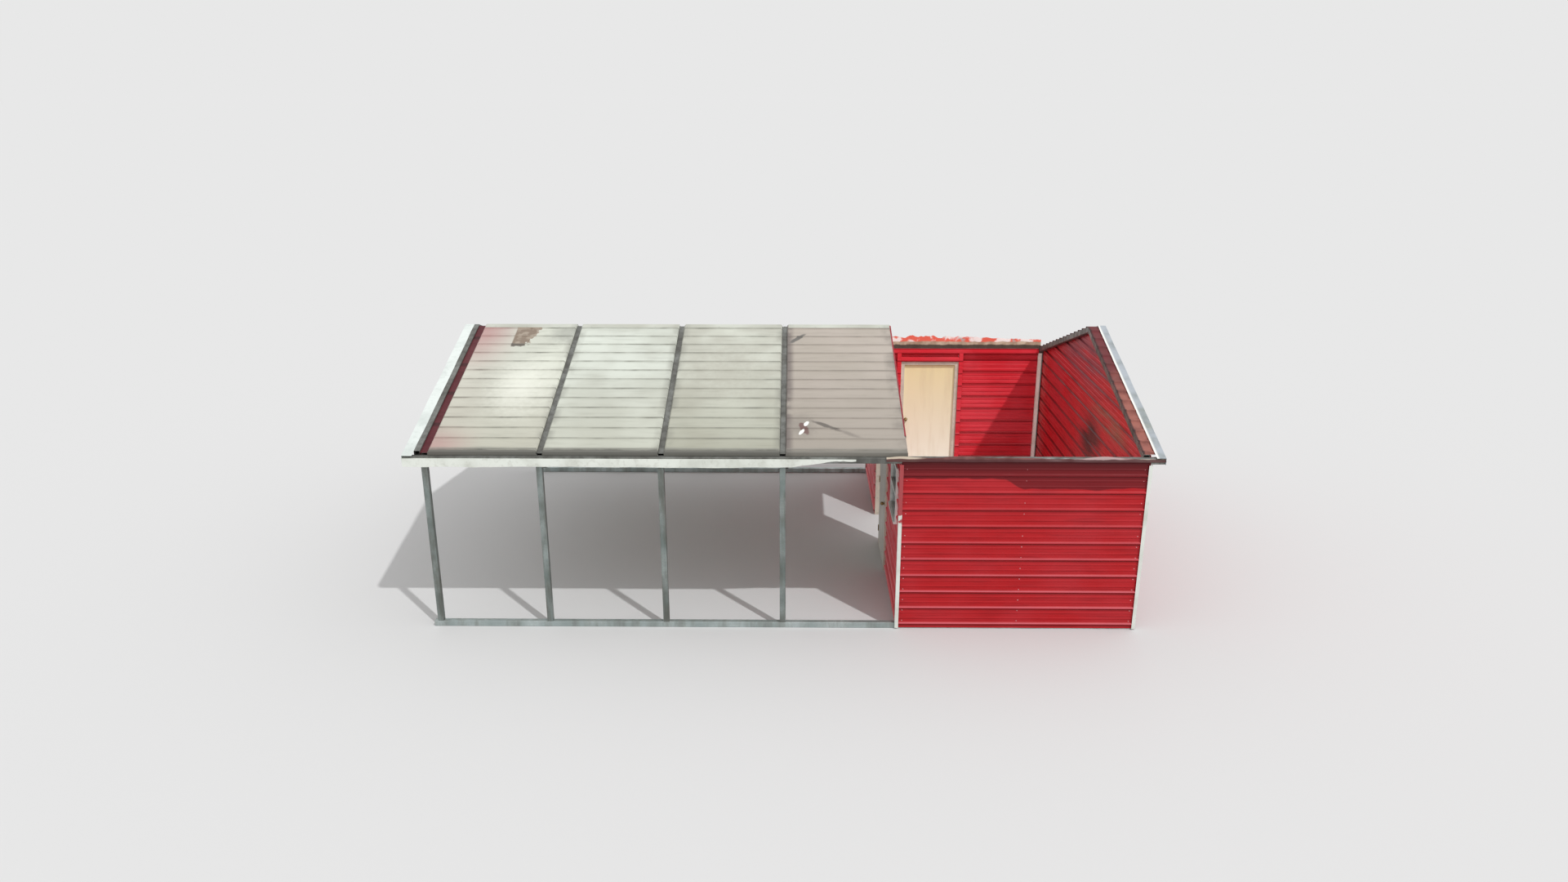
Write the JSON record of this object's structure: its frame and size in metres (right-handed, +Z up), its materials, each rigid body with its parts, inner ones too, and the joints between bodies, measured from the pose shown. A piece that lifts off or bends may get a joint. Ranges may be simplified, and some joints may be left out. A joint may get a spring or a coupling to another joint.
{
  "type": "carport with office",
  "caption": "Open steel-tube carport with a ribbed sheet roof and a ribbed sheet-steel office at one end, with hinged doors, a window and an open passage.",
  "frame": {"origin": "on the ground at the middle of the plan", "axes": "+X along the building from the open end to the office, +Y from the front to the back, +Z up"},
  "size_m": [9.514, 6.2119, 3.3997],
  "materials": {
    "galvanised_tube": "galvanised, weathered",
    "cream_sheet": "painted sheet, satin",
    "beige_sheet": "painted sheet, satin, dulled",
    "red_sheet": "painted sheet, satin",
    "verge_sheet": "painted sheet, weathered",
    "white_trim": "painted folded trim, satin",
    "door_frame": "painted steel, satin",
    "door_leaf": "painted steel, satin",
    "door_furniture": "plated, worn",
    "window_frame": "white coated, satin",
    "window_glass": "clear, dark inside"
  },
  "bodies": {
    "building": {"back_base_rail": "galvanised_tube", "back_door_frame": "door_frame", "back_door_posts": "galvanised_tube", "back_eave_rail": "galvanised_tube", "back_posts": "galvanised_tube", "bow_1": "galvanised_tube", "bow_2": "galvanised_tube", "bow_3": "galvanised_tube", "bow_4": "galvanised_tube", "bow_5": "galvanised_tube", "corner_trims": "white_trim", "eave_trim_back": "white_trim", "eave_trim_carport": "white_trim", "eave_trim_office": "white_trim", "front_base_rail": "galvanised_tube", "front_eave_rail": "galvanised_tube", "front_posts": "galvanised_tube", "office_back_wall": "red_sheet", "office_end_base_rail": "galvanised_tube", "office_end_bow": "galvanised_tube", "office_end_verge": "verge_sheet", "office_end_wall": "red_sheet", "office_front_wall": "red_sheet", "office_posts": "galvanised_tube", "open_end_edge_rafters": "galvanised_tube", "open_end_gable": "red_sheet", "open_end_tie": "galvanised_tube", "partition_base_rail": "galvanised_tube", "partition_gable": "red_sheet", "partition_rails": "galvanised_tube", "partition_wall": "red_sheet", "passage_post": "door_frame", "rake_trim_office_end": "white_trim", "rake_trim_open_end": "white_trim", "ridge_caps": "cream_sheet", "roof_back": "cream_sheet", "roof_front_1": "cream_sheet", "roof_front_2": "cream_sheet", "roof_front_3": "cream_sheet", "roof_front_4": "beige_sheet", "side_door_frame": "door_frame", "side_door_posts": "galvanised_tube", "window_frame": "window_frame", "window_glass": "window_glass"},
    "back_door": {"back_door_leaf": "door_leaf", "back_door_knobs_and_hinges": "door_furniture"},
    "side_door": {"side_door_leaf": "door_leaf", "side_door_knobs_and_hinges": "door_furniture"}
  },
  "joints": [
    {"name": "back_door_hinge", "type": "hinge", "parent": "building", "child": "back_door", "pos_m": [3.0292, 3.086, 0], "axis": [0, 0, -1], "range_deg": [0, 100]},
    {"name": "side_door_hinge", "type": "hinge", "parent": "building", "child": "side_door", "pos_m": [1.4479, -0.3153, 0], "axis": [0, 0, -1], "range_deg": [0, 100]}
  ]
}
